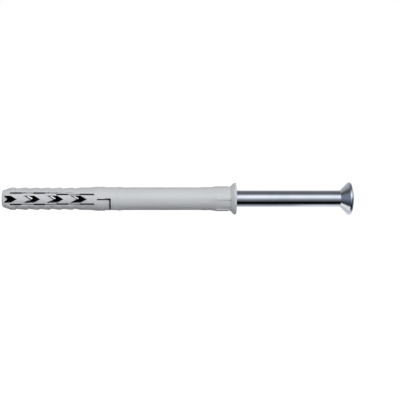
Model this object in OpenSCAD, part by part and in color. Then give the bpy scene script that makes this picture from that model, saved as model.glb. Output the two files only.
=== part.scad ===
// Frame fixing: a long nylon sleeve for a 10 mm hole with a raised countersunk screw.
// The axis runs along X. The origin is the centre of the collar's face, and +X points to the screw's head.
// Windows face -Y and +Y, barbs stand at the top and the bottom. All sizes are in millimetres.

/* [Sleeve] */
// Length of the sleeve, from the collar's face to the tip
sleeve_length = 100; // [80:5:160]
// Diameter of the plain shank
shank_d = 9.8; // [9.3:0.1:10.4]
// Growth in diameter of the last stretch of shank before the flare
shank_swell = 0.18; // [0.05:0.01:0.3]
// Length of that last stretch
swell_length = 4.4; // [2:0.2:8]
// Gap between the screw and the bore, measured on the radius
bore_clearance = 0.12; // [0.06:0.01:0.2]
// Diameter of the narrow bore in the expansion zone
tip_bore_d = 3.8; // [3.4:0.1:3.9]
// Length over which the wide bore narrows
bore_taper = 9; // [6:0.5:12]
// Diameter of the front face of the tip
nose_d = 7.4; // [6.4:0.1:7.8]
// Length of the rounded nose
nose_length = 2.4; // [1.5:0.1:3]
// Radius of the rounded edge of the tip
nose_edge = 0.6; // [0.2:0.1:0.9]

/* [Expansion zone] */
// Length of the expansion zone, from the tip
zone_length = 37.1; // [32:0.1:44]
// Diameter between the barbs
zone_d = 8.8; // [8.4:0.1:9.2]
// Diameter of the smooth stretch behind the last barb
zone_back_d = 9.7; // [9.2:0.1:10]
// Length of that smooth stretch
zone_back_length = 3.8; // [2:0.2:5]
// Length of the slope up to that smooth stretch
zone_back_rise = 2.4; // [1.6:0.1:2.7]
// Number of barbs
barb_count = 6; // [2:1:7]
// Height of a barb over the valley beside it
barb_height = 0.38; // [0.2:0.01:0.5]
// Length of the flat crest of a barb
barb_crest = 1; // [0.5:0.1:1.5]
// Length of the slope behind a crest
barb_fall = 0.8; // [0.3:0.1:1.2]
// Length of the steep step behind the first crest
barb_step = 0.1; // [0.05:0.05:0.5]
// Distance from the tip to the end of the first crest
barb_first = 5.5; // [5:0.1:7]
// Length of the slope up to the first crest
barb_first_rise = 0.8; // [0.5:0.1:1.6]
// Distance from the end of the last crest to the smooth stretch
barb_last = 3.5; // [2.5:0.1:4.2]
// Length of the flat stretch between the nose and the first barb
barb_start = 0.2; // [0.1:0.1:0.8]
// Angle that the barbs cover to each side of the top and of the bottom
barb_sweep = 52; // [30:1:52]

/* [Slits and windows] */
// Width of a slit
slit_w = 0.6; // [0.3:0.05:0.7]
// Height of the upper slits over the middle of the windows, in the half towards the tip
slit_z_tip = 2.6; // [2.2:0.05:2.7]
// Distance of the lower slits there from the middle of the windows
slit_z_low = 2.2; // [2:0.05:2.7]
// Distance of all slits from the middle of the windows, in the half towards the collar
slit_z_back = 2.05; // [2:0.05:2.7]
// Distance from the floor of a slit to the plane through the axis
slit_floor = 1; // [0.9:0.1:1.6]
// Length of a slit before the point of the window beside it
slit_before = 2.8; // [2:0.1:3.5]
// Length of a slit past the point of the window beside it
slit_after = 1.8; // [1.5:0.1:3]
// Length of the last slit past the point of the window beside it
slit_last = 2.9; // [2.5:0.1:3.9]
// Depth of the groove that joins the slits
groove_depth = 0.3; // [0.1:0.05:0.5]
// Number of arrow windows on each side
window_count = 4; // [2:1:4]
// Distance from the tip to the point of the first window
window_first = 6.6; // [5.5:0.1:7]
// Distance from the point of the last window to the end of the expansion zone
window_last = 0.95; // [0.6:0.05:2]
// Height of a window
window_h = 3.2; // [2.2:0.1:3.4]
// Length of the pointed head of a window
window_head = 2.7; // [2:0.1:3.2]
// Length of a window, from its point to the ends of its arms
window_arm = 7.4; // [6:0.1:7.8]
// Distance from a window's point to the tip of its tongue
window_tongue = 4.4; // [3.8:0.1:5]
// Size of a window at the bore, as a share of its size on the outside
window_inner = 0.78; // [0.6:0.02:0.96]
// Distance by which the windows at the back lie nearer to the tip
window_shift = 3.4; // [2:0.1:4]
// Thickness of the ring that closes the first window at the tip
tip_ring = 0.6; // [0.4:0.1:1]

/* [Depth rings and lock tab] */
// Diameter of the bulge behind the expansion zone
bulge_d = 10.35; // [9.9:0.05:10.4]
// Length of the slopes up to the bulge
bulge_rise = 3.1; // [2:0.1:4]
// Length of the bulge
bulge_length = 3.2; // [2.5:0.1:4]
// Diameter of the band that carries the end of the lock tab
band_d = 9.91; // [9.7:0.01:10]
// Length of that band
band_length = 4.3; // [4:0.1:6]
// Diameter of the ring before the shank
ring_d = 10.15; // [9.9:0.05:10.3]
// Length of that ring
ring_length = 1; // [0.8:0.1:2]
// Gap between the band and that ring
ring_gap = 1; // [0.5:0.1:2]
// Width of the slot along the lock tab
tab_slot = 0.7; // [0.3:0.05:0.8]
// Width of the slot across the end of the lock tab
tab_end_slot = 0.7; // [0.3:0.05:0.9]
// Length of the lock tab
tab_length = 5.1; // [4:0.1:5.6]
// Distance from the bulge to the end of the lock tab
tab_end = 2.2; // [1.2:0.1:3]
// Height by which the end slot runs past the slot along the tab
tab_corner = 0.4; // [0:0.1:0.8]
// Distance from the end slot's floor to the plane through the axis
tab_floor = 1; // [0.6:0.1:1.6]

/* [Collar] */
// Diameter of the flare behind the collar
flare_d = 10.78; // [10.2:0.02:11]
// Length of the flare's full width
flare_length = 4.8; // [3:0.1:8]
// Length of the slope from the shank up to the flare
flare_rise = 2.4; // [1:0.1:4]
// Diameter of the neck between the flare and the collar
neck_d = 10.2; // [9.8:0.1:10.6]
// Length of the neck's slope
neck_length = 1; // [0.6:0.1:2]
// Angle between the two thin ribs on each side of the flare
rib_turn = 55; // [30:1:60]
// Height of a rib over the flare
rib_height = 0.3; // [0.1:0.05:0.4]
// Width of a rib
rib_w = 0.5; // [0.3:0.1:0.8]
// Thickness of the collar's rim
collar_rim = 0.95; // [0.6:0.05:1.5]
// Width of the collar's face around the countersink
collar_lip = 0.5; // [0.3:0.05:0.8]
// Distance by which the screw's head covers the collar all round
head_cover = 0.3; // [0.05:0.05:0.5]

/* [Screw] */
// Length of the screw, from its point to the rim of its head
screw_length = 105; // [90:5:160]
// Diameter of the plain shank
screw_d = 7.1; // [6:0.05:7.4]
// Outer diameter of the thread
thread_d = 7.1; // [6.6:0.1:7.4]
// Diameter of the core between the turns
core_d = 5.1; // [4.6:0.1:5.6]
// Pitch of the thread
thread_pitch = 3.6; // [3:0.1:4.4]
// Length of the thread, with the point
thread_length = 55; // [40:1:70]
// Length of the point
point_length = 5.4; // [4.5:0.1:7]
// Distance from the screw's point to the expansion zone
point_gap = 6.6; // [4:0.1:12]
// Diameter of the head
head_d = 14.2; // [12.5:0.1:15]
// Height of the cylindrical rim of the head
head_rim = 0.5; // [0.1:0.05:0.8]
// Radius of the head's rounded edge
head_edge = 0.8; // [0.3:0.05:1]
// Radius of the domed top
dome_r = 19.5; // [14:0.5:30]

/* [Drive recess] */
// Diameter over the six lobes
drive_d = 6.75; // [5.6:0.05:7]
// Diameter between the hollows
drive_inner_d = 4.85; // [3.95:0.05:5]
// Radius of a lobe's tip
drive_lobe = 0.55; // [0.4:0.01:0.6]
// Depth of the recess, from the top of the head to the start of its cone
drive_depth = 4; // [3:0.1:4.6]

/* [Hidden] */
$fn = 96;
// Turns around the axis that give the two sides of the sleeve
SIDES = [0, 180];
// Depth by which barbs and ribs reach into the wall
overlap = 0.5;
// Length by which a cut reaches past the surface
beyond = 1;
// Straight steps in the small round edges, in a lobe or hollow of the drive, and in the domed top
edge_steps = 4;
lobe_steps = 6;
dome_steps = 12;
// Sides of a slit's round end
slit_sides = 24;
// Angle from the bottom at which the round surfaces begin and end
seam_turn = 3.15;

// Radii
shank_r = shank_d / 2;
swell_r = shank_r + shank_swell / 2;
bore_r = max(thread_d, screw_d) / 2 + bore_clearance;
tip_bore_r = tip_bore_d / 2;
zone_r = zone_d / 2;
zone_back_r = zone_back_d / 2;
band_r = band_d / 2;
ring_r = ring_d / 2;
flare_r = flare_d / 2;
neck_r = neck_d / 2;
head_r = head_d / 2;
collar_r = head_r - head_cover;
seat_r = collar_r - collar_lip;
outside_r = collar_r + beyond;
nose_r = nose_d / 2;
core_r = core_d / 2;
// Distance from the axis to the floor of a window's cut, which lies inside the bore
window_floor = 0.6;

// Places along the axis, from the tip to the collar
tip_x = -sleeve_length;
zone_x = tip_x + zone_length;
back_x = zone_x - zone_back_length;
bulge_x = zone_x + bulge_rise;
bulge_end_x = bulge_x + bulge_length;
// Length of the short slopes beside the bulge, the ring and the swell
step = 0.6;
band_end_x = bulge_end_x + step + band_length;
ring_x = band_end_x + ring_gap;
ring_end_x = ring_x + ring_length;
shank_x = ring_end_x + step;
cone_x = -(collar_rim + collar_r - neck_r);
flare_end_x = cone_x - neck_length;
flare_x = flare_end_x - flare_length;
swell_end_x = flare_x - flare_rise;
swell_x = swell_end_x - swell_length;
tab_end_x = bulge_end_x + tab_end;
// Radius of the edge between the collar's rim and its face
face_edge = 0.25;

// Places of the screw
point_x = zone_x + point_gap;
rim_x = point_x + screw_length;
edge_x = rim_x + head_rim;
dome_x = edge_x - sqrt((dome_r - head_edge) ^ 2 - (head_r - head_edge) ^ 2);
top_x = dome_x + dome_r;
thread_end_x = point_x + thread_length;
bore_narrow_x = point_x + point_length;

// Steps of the patterns
barb_pitch = (zone_length - zone_back_length - barb_last - barb_first) / (barb_count - 1);
window_pitch = (zone_length - window_last - window_first) / (window_count - 1);

// Points on a circle from one angle to another, in the plane of a profile
function arc(x, y, r, from, to, n) = [
    for (k = [0:n]) [x + r * cos(from + (to - from) * k / n), y + r * sin(from + (to - from) * k / n)]
];

// A solid of revolution around the X axis, from points given as distance along the axis and radius
module turned(points, sweep = 360, start = 0) {
    rotate([0, 90, 0])
        rotate([0, 0, start])
            rotate_extrude(angle = sweep)
                polygon([for (p = points) [p[1], p[0]]]);
}

// Sleeve: the wall, with its nose, bulge, rings, shank, flare and countersunk collar
module wall() {
    // The nose's slope runs on from its rounded edge without a kink
    nose_run = nose_length - nose_edge;
    nose_rise = zone_r - nose_r + nose_edge;
    nose_turn = atan2(nose_rise, nose_run) + acos(nose_edge / norm([nose_run, nose_rise]));
    outside = concat(
        arc(tip_x + nose_edge, nose_r - nose_edge, nose_edge, 180, nose_turn, edge_steps),
        [
            [tip_x + nose_length, zone_r],
            [back_x - zone_back_rise, zone_r],
            [back_x, zone_back_r],
            [zone_x, zone_back_r],
            [bulge_x, bulge_d / 2],
            [bulge_end_x, bulge_d / 2],
            [bulge_end_x + step, band_r],
            [band_end_x, band_r],
            [band_end_x + ring_gap / 4, shank_r],
            [ring_x - ring_gap / 4, shank_r],
            [ring_x, ring_r],
            [ring_end_x, ring_r],
            [shank_x, shank_r],
            [swell_x, shank_r],
            [swell_x + step, swell_r],
            [swell_end_x, swell_r],
            [flare_x, flare_r],
            [flare_end_x, flare_r],
            [cone_x, neck_r],
            [-collar_rim, collar_r]
        ],
        arc(-face_edge, collar_r - face_edge, face_edge, 90, 0, edge_steps)
    );
    inside = [
        [0, seat_r],
        [bore_r - seat_r, bore_r],
        [bore_narrow_x, bore_r],
        [bore_narrow_x - bore_taper, tip_bore_r],
        [tip_x, tip_bore_r]
    ];
    turned(concat(outside, inside), start = seam_turn);
}

// One barb, given by the end of its flat crest and the lengths of its rise, crest and fall
module barb(crest_end, rise, crest, fall) {
    root_r = zone_r - overlap;
    crest_r = zone_r + barb_height;
    points = [
        [crest_end - crest - rise, root_r],
        [crest_end - crest - rise, zone_r],
        [crest_end - crest, crest_r],
        [crest_end, crest_r],
        [crest_end + fall, zone_r],
        [crest_end + fall, root_r]
    ];
    for (side = SIDES)
        turned(points, 2 * barb_sweep, side - barb_sweep);
}

// The row of barbs. The first one rises close behind the nose and ends in a steep step
module barbs() {
    first_end = tip_x + barb_first;
    first_crest = barb_first - barb_first_rise - nose_length - barb_start;
    barb(first_end, barb_first_rise, first_crest, barb_step);
    for (k = [1:barb_count - 1])
        barb(first_end + k * barb_pitch, barb_pitch - barb_crest - barb_fall, barb_crest, barb_fall);
}

// Thin ribs along the flare, which stop the sleeve from turning in its hole. On each side one
// stands in the middle, and the second one a turn further
module ribs() {
    rib_r = flare_r + rib_height;
    points = [
        [flare_x - flare_rise / 2, swell_r - overlap],
        [flare_x - flare_rise / 2, swell_r],
        [flare_x, rib_r],
        [cone_x, rib_r],
        [cone_x + rib_height, rib_r],
        [cone_x + rib_height, swell_r - overlap]
    ];
    for (side = SIDES, turn = [0, rib_turn])
        rotate([side + turn, 0, 0])
            linear_extrude(height = rib_w, center = true)
                polygon(points);
}

// Distance of a window's point from the tip
function window_point(k) = window_first + k * window_pitch;

// A slit in one wall, with round ends. It stops short of the bore, which leaves a thin web to tear
module slit(from, to, z) {
    translate([from, -outside_r, z - slit_w / 2])
        cube([to - from, outside_r - slit_floor, slit_w]);
    for (x = [from, to])
        translate([x, -slit_floor, z])
            rotate([90, 0, 0])
                cylinder(h = outside_r - slit_floor, r = slit_w / 2, $fn = slit_sides);
}

// A shallow groove in the face of one wall
module groove(from, to, z) {
    floor_y = sqrt(zone_r ^ 2 - z ^ 2) - groove_depth;
    translate([from, -outside_r, z - slit_w / 4])
        cube([to - from, outside_r - floor_y, slit_w / 2]);
}

// Slits above and below every window, joined by grooves
module slit_row() {
    for (k = [0:window_count - 1]) {
        last = k == window_count - 1;
        near_tip = 2 * k < window_count;
        from = tip_x + window_point(k) - slit_before;
        to = tip_x + window_point(k) + (last ? slit_last : slit_after);
        for (z = near_tip ? [slit_z_tip, -slit_z_low] : [slit_z_back, -slit_z_back]) {
            slit(from, to, z);
            if (!last)
                groove(to, from + window_pitch, z);
        }
    }
}

module slits() {
    for (side = SIDES)
        rotate([side, 0, 0])
            slit_row();
}

// An arrow window seen from outside: a pointed head, two arms and the tongue between them.
// One that is cut short by the ring of the tip has a straight end
module window_outline(arm) {
    head = min(window_head, arm);
    half_h = window_h / 2 * head / window_head;
    tongue = [[-arm, half_h], [-min(arm, window_tongue), 0], [-arm, -half_h]];
    polygon(concat([[0, 0], [-head, half_h]], arm > head ? tongue : [], [[-head, -half_h]]));
}

// Size of a window at a distance from the plane through the axis, as a share of its size outside
function window_share(y) = window_inner + (1 - window_inner) * (y - tip_bore_r) / (zone_r - tip_bore_r);

// The windows of one side. They narrow towards the bore, around the middle of their heads
module window_row(first, shift) {
    middle = window_tongue / 2;
    floor_share = window_share(window_floor);
    widening = window_share(outside_r) / floor_share;
    for (k = [first:window_count - 1]) {
        point = window_point(k) - shift;
        arm = min(window_arm, point - tip_ring);
        translate([tip_x + point - middle, -window_floor, 0])
            rotate([90, 0, 0])
                linear_extrude(height = outside_r - window_floor, scale = widening)
                    scale(floor_share)
                        translate([middle, 0])
                            window_outline(arm);
    }
}

// The row at the back has no window beside the tip
module windows() {
    window_row(0, 0);
    rotate([180, 0, 0])
        window_row(1, window_shift);
}

// Lock tabs: on each side a quarter of the wall is cut free along its upper edge and across its end
module tab_cuts() {
    depth = outside_r - tab_floor;
    for (side = SIDES)
        rotate([side, 0, 0]) {
            translate([tab_end_x - tab_length, -outside_r, -tab_slot / 2])
                cube([tab_length, depth, tab_slot]);
            translate([tab_end_x, -outside_r, -outside_r])
                cube([tab_end_slot, depth, outside_r + tab_corner]);
        }
}

module sleeve() {
    color([0.72, 0.73, 0.75])
        difference() {
            union() {
                wall();
                barbs();
                ribs();
            }
            slits();
            windows();
            tab_cuts();
        }
}

// Sides of the thread, seen along the axis
thread_sides = 24;
// Lengths along the axis of a flank, of the flat crest, and of the bare core behind the last turn
thread_flank = 0.5;
thread_crest = 0.15;
thread_runout = 0.8;
// Places of the four points across the ridge
PROFILE = [0, thread_flank, thread_flank + thread_crest, 2 * thread_flank + thread_crest];
thread_body = thread_length - thread_runout - PROFILE[3];
thread_steps = floor(thread_sides * thread_body / thread_pitch);
// Share of the full size that the thread has at the start of the point, and at its last step
point_start = 0.12;
runout_end = 0.1;
// Length of the sharp end before the first turn
point_end = 0.35;
// Height of the shank's front face over the core
shoulder_rise = 0.15;

// Share of the full radius at a distance from the point, and near the thread's end
function point_share(x) = min(1, point_start + (1 - point_start) * x / point_length);
function runout_share(x) = min(1, max(runout_end, (thread_body - x) / thread_pitch));
function root_at(x) = core_r * point_share(x);
function crest_at(x) = root_at(x) + (thread_d / 2 - core_r) * point_share(x) * runout_share(x);

// A point of the thread: step i round the axis, place j across the ridge
function thread_x(i, j) = thread_pitch * i / thread_sides + PROFILE[j];
function thread_r(i, j) = (j == 1 || j == 2) ? crest_at(thread_x(i, j)) : root_at(thread_x(i, j));
function on_axis(x, r, i) = [x, r * cos(360 * i / thread_sides), r * sin(360 * i / thread_sides)];
function vertex(i, j) = 4 * i + j;

module thread() {
    helix = [
        for (i = [0:thread_steps]) for (j = [0:3]) on_axis(thread_x(i, j), thread_r(i, j), i)
    ];
    ends = [
        for (k = [0:thread_sides - 1])
            on_axis(thread_length, core_r, thread_steps - thread_sides + k)
    ];
    tip = len(helix);
    last_turn = thread_steps - thread_sides;
    function end(k) = tip + 1 + k % thread_sides;
    ridge = [
        for (i = [0:thread_steps - 1]) for (j = [0:2]) each [
            [vertex(i, j), vertex(i + 1, j + 1), vertex(i + 1, j)],
            [vertex(i, j), vertex(i, j + 1), vertex(i + 1, j + 1)]
        ]
    ];
    root = [
        for (i = [0:last_turn - 1]) each [
            [vertex(i, 3), vertex(i + 1 + thread_sides, 0), vertex(i + 1, 3)],
            [vertex(i, 3), vertex(i + thread_sides, 0), vertex(i + 1 + thread_sides, 0)]
        ]
    ];
    cone = [for (i = [0:thread_sides - 1]) [tip, vertex(i, 0), vertex(i + 1, 0)]];
    start = [[tip, vertex(thread_sides, 0), vertex(0, 3), vertex(0, 2), vertex(0, 1), vertex(0, 0)]];
    core = [
        for (k = [1:thread_sides - 1]) each [
            [vertex(last_turn + k, 3), end(k + 1), vertex(last_turn + k + 1, 3)],
            [vertex(last_turn + k, 3), end(k), end(k + 1)]
        ]
    ];
    seam = [
        [vertex(last_turn, 3), vertex(thread_steps, 0), vertex(last_turn + 1, 3)],
        [vertex(thread_steps, 0), vertex(thread_steps, 3), vertex(last_turn + 1, 3)],
        [vertex(thread_steps, 3), end(1), vertex(last_turn + 1, 3)],
        [vertex(thread_steps, 3), end(0), end(1)]
    ];
    finish = [[for (j = [0:3]) vertex(thread_steps, j)]];
    cap = [[for (k = [thread_sides - 1:-1:0]) end(k)]];
    translate([point_x, 0, 0])
        polyhedron(
            points = concat(helix, [[-point_end, 0, 0]], ends),
            faces = concat(ridge, root, cone, start, core, seam, finish, cap)
        );
}

// Six lobes and six hollows that run into each other
module drive_outline() {
    lobe_at = drive_d / 2 - drive_lobe;
    inner = drive_inner_d / 2;
    // Radius of a hollow, such that its circle touches the circles of both lobes beside it
    hollow = (lobe_at ^ 2 + inner ^ 2 - 2 * lobe_at * inner * cos(30) - drive_lobe ^ 2)
        / (2 * (drive_lobe - inner + lobe_at * cos(30)));
    hollow_at = inner + hollow;
    turn = atan2(hollow_at * sin(30), hollow_at * cos(30) - lobe_at);
    polygon([
        for (k = [0:5]) each [
            for (p = concat(
                arc(lobe_at, 0, drive_lobe, -turn, turn, lobe_steps),
                arc(hollow_at * cos(30), hollow_at * sin(30), hollow, 180 + turn, 240 - turn, lobe_steps)
            ))
                [p[0] * cos(60 * k) - p[1] * sin(60 * k), p[0] * sin(60 * k) + p[1] * cos(60 * k)]
        ]
    ]);
}

// The recess: lobed walls that end on a cone
module drive_recess() {
    cone_r = drive_d / 2 + beyond;
    cone_tip_x = top_x - drive_depth - drive_d / 2 * tan(30);
    intersection() {
        translate([cone_tip_x, 0, 0])
            rotate([0, 90, 0])
                linear_extrude(height = top_x - cone_tip_x + beyond)
                    rotate([0, 0, 90])
                        drive_outline();
        turned([
            [cone_tip_x, 0],
            [cone_tip_x + cone_r * tan(30), cone_r],
            [top_x + beyond, cone_r],
            [top_x + beyond, 0]
        ]);
    }
}

// Shank and head: a chamfered end, the shank, the countersunk cone and the raised top
module blank() {
    screw_r = screw_d / 2;
    shoulder_r = core_r + shoulder_rise;
    shoulder_x = thread_end_x - thread_runout;
    dome_angle = asin((head_r - head_edge) / (dome_r - head_edge));
    turned(concat(
        [
            [shoulder_x, 0],
            [shoulder_x, shoulder_r],
            [shoulder_x + screw_r - shoulder_r, screw_r],
            [rim_x - (head_r - screw_r), screw_r],
            [rim_x, head_r]
        ],
        arc(edge_x, head_r - head_edge, head_edge, 90, dome_angle, edge_steps),
        arc(dome_x, 0, dome_r, dome_angle * (1 - 1 / dome_steps), 0, dome_steps - 1)
    ), start = seam_turn);
}

module screw() {
    color([0.80, 0.82, 0.85]) {
        difference() {
            blank();
            drive_recess();
        }
        thread();
    }
}

sleeve();
screw();
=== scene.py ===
"""A frame fixing with its screw, lying on a pale floor in soft studio light."""
import math

import bpy
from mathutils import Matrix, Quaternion, Vector

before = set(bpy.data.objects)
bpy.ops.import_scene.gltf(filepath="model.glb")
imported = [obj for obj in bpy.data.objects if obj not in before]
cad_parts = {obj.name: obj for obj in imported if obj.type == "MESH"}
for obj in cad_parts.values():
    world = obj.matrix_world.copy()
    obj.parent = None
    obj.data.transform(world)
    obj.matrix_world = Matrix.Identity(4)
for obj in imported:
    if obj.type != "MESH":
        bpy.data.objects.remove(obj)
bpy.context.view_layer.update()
MM = 0.001

# Points of the CAD meshes nearer together than the distance are joined. Edges where faces meet at
# more than the angle stay sharp
WELD_DISTANCE = 0.002 * MM
SHARP_ANGLE = math.radians(28)

# Patterns of noise: stretch along the axes, scale, detail, and how far the pattern is moved
EVENLY = (1, 1, 1)
NYLON_FLOW = ((0.12, 1, 1), 420, 4, 0)
NYLON_CLOUDS = (EVENLY, 90, 3, 3)
NYLON_GRAIN = (EVENLY, 5200, 2, 0)
ZINC_LINES = ((0.03, 1, 1), 2600, 3, 0)
ZINC_CLOUDS = (EVENLY, 160, 3, 5)
ZINC_PITS = (EVENLY, 3800, 2, 8)
# Values of a pattern at which a blend of two colours starts and ends
BLEND_ENDS = (0.3, 0.7)

# Nylon: its two greys, the range of its roughness, strength and depth of its grain, and its gloss
NYLON_COLOURS = ((0.585, 0.602, 0.622), (0.625, 0.642, 0.665))
NYLON_ROUGHNESS = (0.42, 0.56)
NYLON_BUMP = (0.25, 0.02 * MM)
NYLON_IOR = 1.53
NYLON_GLOSS = 0.5
# Share of the light that goes under the nylon's skin, and how far it gets there in red, green and blue
NYLON_SKIN = 0.12
NYLON_SKIN_REACH = (0.9 * MM, 0.9 * MM, 1.0 * MM)
# Painted shade in the hollows: how far and with how many rays the nylon looks around itself for walls,
# how open a place is that is painted dark or left light, and the shares of its colour kept there.
# Slits, windows and the bore are painted dark inside, where shade falls
HOLLOW_REACH = 4 * MM
HOLLOW_SAMPLES = 8
HOLLOW_OPEN = (0.26, 0.62)
HOLLOW_PAINTED_SHADE = (0.12, 1.0)
# Painted shade in the bore: distances from the axis at which the painted shade inside the windows is
# darkest and ends, and the shares of colour kept there
BORE_DARK = (1.9 * MM, 3.7 * MM)
BORE_PAINTED_SHADE = (0.02, 1.0)
# Leaves only what lies across the axis of a place
ACROSS_AXIS = (0, 1, 1)

# Zinc: its two colours, the range of its roughness, strength and depth of its lines and pits
ZINC_COLOURS = ((0.66, 0.69, 0.74), (0.74, 0.76, 0.80))
ZINC_ROUGHNESS = (0.1, 0.17)
ZINC_BUMP = (0.2, 0.01 * MM)

# Camera: near the part, in front of it, a little above it and to the left. It looks at the centre,
# and the picture is as wide there as the width says
VIEW_CENTRE = Vector((-15.5, 0, -0.58)) * MM
VIEW_WIDTH = 172.5 * MM
VIEW_FROM_X = -35 * MM
VIEW_DISTANCE = 450 * MM
VIEW_ELEVATION = math.radians(3.5)
VIEW_ROLL = math.radians(0.13)
VIEW_NEAREST = 0.01
VIEW_FURTHEST = 20

# Floor: its height and size, how much light it gives back to the part, and for the camera how much
# of it takes shadows and how much of it glows
FLOOR_Z = -7.1 * MM
FLOOR_SIZE = 8.0
FLOOR_ALBEDO = 0.45
FLOOR_SHADED = 0.12
FLOOR_GLOW = 0.98

# Studio that only shiny surfaces see. Tents are tubes round the long axis of the part. Their light is
# given by angles, upwards from the front, and levels. In front a bright soft strip hangs above the
# camera, with a dark strip under it and a dim one over it
TENT_RADIUS = 0.45
TENT_TINT = (0.94, 0.97, 1.05)
TENT_FRONT = [(-75, 0.0), (-45, 0.0), (-10, 0.3), (30, 1.4), (70, 0.15), (100, 0.15)]
TENT_BACK = 140
# For every tent its ends along X, the angle to which the pale part low at the back comes forward, the
# level of that part, and the level high up at the back
TENTS = {
    "tent_left": ((-0.3, -0.08), -120, 0.7, 0.5),
    "tent": ((-0.08, 0.08), -140, 0.8, 0.4),
    "tent_right": ((0.08, 0.3), -110, 0.9, 0.4),
}
# Cards beyond the two ends of the part: place along X, and for every line its height, level and
# tint. The left one is pale below, dark blue in the middle and grey above. The right one has a
# bright strip over its dark blue middle
CARD_HALF = 2.0
BLUE = (0.8, 1.0, 1.3)
GREY = (1.0, 1.0, 1.0)
END_CARDS = {
    "card_left": (-0.45, [
        (-2.0, 1.0, GREY), (-0.34, 1.0, GREY), (-0.3, 0.05, BLUE), (-0.2, 0.05, BLUE),
        (0.0, 0.25, BLUE), (0.2, 0.25, BLUE), (0.25, 0.1, GREY), (0.35, 0.1, GREY),
        (0.5, 0.5, GREY), (2.0, 0.5, GREY),
    ]),
    "card_right": (0.45, [
        (-1.0, 0.4, GREY), (-0.2, 0.1, BLUE), (0.0, 0.1, BLUE), (0.2, 1.0, GREY),
        (0.4, 0.3, BLUE), (1.0, 0.5, GREY),
    ]),
}

# Lamps: place, width and height, and power. All of them face the part
LAMPS = {
    "key": ((0.0, -0.5, 0.29), (1.0, 0.3), 3.48),
    "low_left": ((-0.55, -0.5, 0.0), (0.3, 0.3), 0.2),
    "low_right": ((0.5, -0.5, 0.0), (0.3, 0.3), 0.2),
    "top": ((0.0, 0.1, 0.5), (0.8, 0.5), 0.25),
    "behind": ((0.0, 0.5, 0.1), (1.0, 0.3), 1.6),
}
WORLD_AMBIENT = 0.16
WHITE = (1, 1, 1, 1)


class Nodes:
    """A small helper that adds and links the nodes of one tree."""

    def __init__(self, tree):
        self.tree = tree
        tree.nodes.clear()

    def add(self, kind, inputs=None, **settings):
        node = self.tree.nodes.new(kind)
        for name, value in settings.items():
            setattr(node, name, value)
        for name, value in (inputs or {}).items():
            if isinstance(value, bpy.types.NodeSocket):
                self.tree.links.new(value, node.inputs[name])
            else:
                node.inputs[name].default_value = value
        return node


def material(name):
    mat = bpy.data.materials.new(name)
    mat.use_nodes = True
    return mat, Nodes(mat.node_tree)


def noise(n, stretch, scale, detail, moved):
    """A pattern of noise in the object's own coordinates, which are in metres."""
    place = n.add("ShaderNodeTexCoord")
    grid = n.add(
        "ShaderNodeMapping",
        {"Vector": place.outputs["Object"], "Scale": stretch, "Location": (moved, moved, moved)},
    )
    pattern = n.add(
        "ShaderNodeTexNoise",
        {"Vector": grid.outputs["Vector"], "Scale": scale, "Detail": detail},
    )
    return pattern.outputs["Fac"]


def combine(n, operation, first, second):
    """One value out of two, by an operation such as MULTIPLY."""
    return n.add("ShaderNodeMath", {0: first, 1: second}, operation=operation).outputs["Value"]


def blend(n, factor, colours):
    """A blend between two colours that follows a pattern."""
    node = n.add("ShaderNodeValToRGB", {"Fac": factor})
    for element, position, colour in zip(node.color_ramp.elements, BLEND_ENDS, colours):
        element.position = position
        element.color = (*colour, 1)
    return node.outputs["Color"]


def spread(n, value, low, high, start=0.0, end=1.0):
    """A value mapped from one range, from nought to one unless it is given, to another."""
    node = n.add(
        "ShaderNodeMapRange",
        {"Value": value, "From Min": start, "From Max": end, "To Min": low, "To Max": high},
    )
    return node.outputs["Result"]


def bump(n, height, strength, distance, under=None):
    """Small heights in the surface, which may lie on other ones."""
    inputs = {"Height": height, "Strength": strength, "Distance": distance}
    if under is not None:
        inputs["Normal"] = under
    return n.add("ShaderNodeBump", inputs).outputs["Normal"]


def principled(n, inputs):
    """The shader of a solid material, with its output."""
    shader = n.add("ShaderNodeBsdfPrincipled", inputs)
    n.add("ShaderNodeOutputMaterial", {"Surface": shader.outputs["BSDF"]})


def painted_hollow_shade(n):
    """Painted shade: share of its colour that the nylon keeps, all of it outside, less in slits,
    windows and bore.
    """
    open_air = n.add(
        "ShaderNodeAmbientOcclusion",
        {"Distance": HOLLOW_REACH},
        samples=HOLLOW_SAMPLES,
        only_local=True,
    )
    hollow_painted_shade = spread(n, open_air.outputs["AO"], *HOLLOW_PAINTED_SHADE, *HOLLOW_OPEN)
    place = n.add("ShaderNodeTexCoord")
    across = n.add(
        "ShaderNodeVectorMath",
        {0: place.outputs["Object"], 1: ACROSS_AXIS},
        operation="MULTIPLY",
    )
    radius = n.add("ShaderNodeVectorMath", {0: across.outputs["Vector"]}, operation="LENGTH")
    bore_painted_shade = spread(n, radius.outputs["Value"], *BORE_PAINTED_SHADE, *BORE_DARK)
    return combine(n, "MULTIPLY", hollow_painted_shade, bore_painted_shade)


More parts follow.
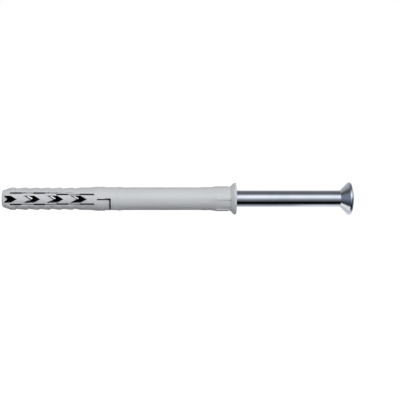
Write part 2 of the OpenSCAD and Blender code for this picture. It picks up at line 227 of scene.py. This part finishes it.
def nylon():
    """Grey nylon: a fine moulded grain, faint flow marks along the sleeve and a broad soft gloss, with
    painted shade in its slits, windows and bore.
    """
    mat, n = material("nylon_grey")
    flow = noise(n, *NYLON_FLOW)
    clouds = noise(n, *NYLON_CLOUDS)
    grain = noise(n, *NYLON_GRAIN)
    mean = combine(n, "MULTIPLY", combine(n, "ADD", flow, clouds), 0.5)
    colour = blend(n, mean, NYLON_COLOURS)
    # Painted shade: the colour gets darker in slits, windows and the bore, where shade falls
    shade = painted_hollow_shade(n)
    painted_shade_colour = n.add(
        "ShaderNodeMixRGB",
        {"Fac": 1.0, "Color1": colour, "Color2": shade},
        blend_type="MULTIPLY",
    )
    principled(n, {
        "Base Color": painted_shade_colour.outputs["Color"],
        "Roughness": spread(n, grain, *NYLON_ROUGHNESS),
        "IOR": NYLON_IOR,
        # The gloss is dimmed by the same painted shade
        "Specular IOR Level": combine(n, "MULTIPLY", shade, NYLON_GLOSS),
        "Subsurface Weight": NYLON_SKIN,
        "Subsurface Radius": NYLON_SKIN_REACH,
        "Subsurface Scale": 1.0,
        "Normal": bump(n, grain, *NYLON_BUMP),
    })
    return mat


def zinc():
    """Bright zinc on steel: faintly blue, with fine drawing lines along the shank and small pits."""
    mat, n = material("zinc_plate")
    lines = noise(n, *ZINC_LINES)
    clouds = noise(n, *ZINC_CLOUDS)
    pits = noise(n, *ZINC_PITS)
    principled(n, {
        "Base Color": blend(n, clouds, ZINC_COLOURS),
        "Metallic": 1.0,
        "Roughness": spread(n, clouds, *ZINC_ROUGHNESS),
        "Normal": bump(n, pits, *ZINC_BUMP, under=bump(n, lines, *ZINC_BUMP)),
    })
    return mat


def smooth(obj, mat):
    """Soft shading over the curves and sharp edges between faces, in one material."""
    mesh = obj.data
    for slot in obj.material_slots:
        slot.material = mat
    weld = obj.modifiers.new("weld", "WELD")
    weld.merge_threshold = WELD_DISTANCE
    # Normals of nought leave it to Blender to work them out from the faces
    mesh.normals_split_custom_set([(0, 0, 0)] * len(mesh.loops))
    mesh.polygons.foreach_set("use_smooth", [True] * len(mesh.polygons))
    edges = obj.modifiers.new("edges", "EDGE_SPLIT")
    edges.split_angle = SHARP_ANGLE


def background_rays(n):
    """1 for the rays that show the background, straight or in a shiny or clear surface, else 0."""
    path = n.add("ShaderNodeLightPath")
    seen = path.outputs["Is Camera Ray"]
    for kind in ("Is Glossy Ray", "Is Transmission Ray"):
        seen = combine(n, "MAXIMUM", seen, path.outputs[kind])
    return seen


def add_stage(name, mat, points, faces):
    mesh = bpy.data.meshes.new(name)
    mesh.from_pydata(points, [], faces)
    mesh.materials.append(mat)
    thing = bpy.data.objects.new(name, mesh)
    bpy.context.scene.collection.objects.link(thing)
    return thing


def make_floor():
    """A pale floor that is white to the camera and keeps a faint shadow."""
    mat, n = material("floor")
    seen = background_rays(n)
    shade = spread(n, seen, FLOOR_ALBEDO, FLOOR_SHADED)
    paint = n.add("ShaderNodeBsdfDiffuse", {"Color": shade})
    glow = n.add("ShaderNodeEmission", {"Strength": spread(n, seen, 0.0, FLOOR_GLOW)})
    both = n.add("ShaderNodeAddShader", {0: paint.outputs["BSDF"], 1: glow.outputs["Emission"]})
    n.add("ShaderNodeOutputMaterial", {"Surface": both.outputs["Shader"]})
    half = FLOOR_SIZE / 2
    corners = [(-half, -half), (half, -half), (half, half), (-half, half)]
    floor = add_stage("floor", mat, [(x, y, FLOOR_Z) for x, y in corners], [(0, 1, 2, 3)])
    floor.visible_glossy = False


def only_in_reflections(thing):
    """A studio surface that only shiny surfaces see. It lights nothing and throws no shadow."""
    thing.visible_camera = False
    thing.visible_diffuse = False
    thing.visible_transmission = False
    thing.visible_shadow = False


def make_gradient(name, lines):
    """A glowing surface through lines, each with its two ends, level and tint.

    The light runs softly from one line to the next.
    """
    mat, n = material(name)
    light = n.add("ShaderNodeAttribute", attribute_name="light")
    glow = n.add("ShaderNodeEmission", {"Color": light.outputs["Color"]})
    n.add("ShaderNodeOutputMaterial", {"Surface": glow.outputs["Emission"]})
    points = [end for ends, _, _ in lines for end in ends]
    faces = [(2 * k, 2 * k + 1, 2 * k + 3, 2 * k + 2) for k in range(len(lines) - 1)]
    surface = add_stage(name, mat, points, faces)
    lights = surface.data.attributes.new("light", "FLOAT_COLOR", "POINT")
    for k, (_, level, tint) in enumerate(lines):
        for point in (2 * k, 2 * k + 1):
            lights.data[point].color = (*(level * part for part in tint), 1)
    only_in_reflections(surface)


def make_tent(name, ends, low_to, low, high):
    """A tube around the part whose brightness runs softly from light to dark."""
    lines = []
    around = [(-180, low), (low_to, low), *TENT_FRONT, (TENT_BACK, high), (180, low)]
    for angle, level in around:
        y = -TENT_RADIUS * math.cos(math.radians(angle))
        z = TENT_RADIUS * math.sin(math.radians(angle))
        lines.append(([(x, y, z) for x in ends], level, TENT_TINT))
    make_gradient(name, lines)


def make_end_card(name, x, heights):
    """An upright card across the end of the tents."""
    lines = []
    for z, level, tint in heights:
        lines.append(([(x, y, z) for y in (-CARD_HALF, CARD_HALF)], level, tint))
    make_gradient(name, lines)


def make_lamp(name, place, size, power):
    """A soft lamp that faces the part."""
    data = bpy.data.lights.new(name, "AREA")
    data.shape = "RECTANGLE"
    data.size, data.size_y = size
    data.energy = power
    lamp = bpy.data.objects.new(name, data)
    lamp.location = place
    lamp.rotation_mode = "QUATERNION"
    lamp.rotation_quaternion = (VIEW_CENTRE - lamp.location).to_track_quat("-Z", "Y")
    lamp.visible_glossy = False
    bpy.context.scene.collection.objects.link(lamp)


def make_world():
    """White to the camera, in reflections and through glass. Everything else gets a low even light."""
    world = bpy.data.worlds.new("studio")
    world.use_nodes = True
    bpy.context.scene.world = world
    n = Nodes(world.node_tree)
    level = spread(n, background_rays(n), WORLD_AMBIENT, 1.0)
    sky = n.add("ShaderNodeBackground", {"Color": WHITE, "Strength": level})
    n.add("ShaderNodeOutputWorld", {"Surface": sky.outputs["Background"]})


def make_camera():
    data = bpy.data.cameras.new("camera")
    data.clip_start = VIEW_NEAREST
    data.clip_end = VIEW_FURTHEST
    camera = bpy.data.objects.new("camera", data)
    camera.location = (
        VIEW_FROM_X,
        -VIEW_DISTANCE * math.cos(VIEW_ELEVATION),
        VIEW_CENTRE.z + VIEW_DISTANCE * math.sin(VIEW_ELEVATION),
    )
    ahead = VIEW_CENTRE - camera.location
    data.lens = data.sensor_width * ahead.length / VIEW_WIDTH
    camera.rotation_mode = "QUATERNION"
    roll = Quaternion((0, 0, 1), VIEW_ROLL)
    camera.rotation_quaternion = ahead.to_track_quat("-Z", "Y") @ roll
    bpy.context.scene.collection.objects.link(camera)
    bpy.context.scene.camera = camera


smooth(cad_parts["sleeve"], nylon())
smooth(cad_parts["screw"], zinc())
make_floor()
for name, values in TENTS.items():
    make_tent(name, *values)
for name, values in END_CARDS.items():
    make_end_card(name, *values)
for name, values in LAMPS.items():
    make_lamp(name, *values)
make_world()
make_camera()
bpy.context.scene.view_settings.view_transform = "Standard"
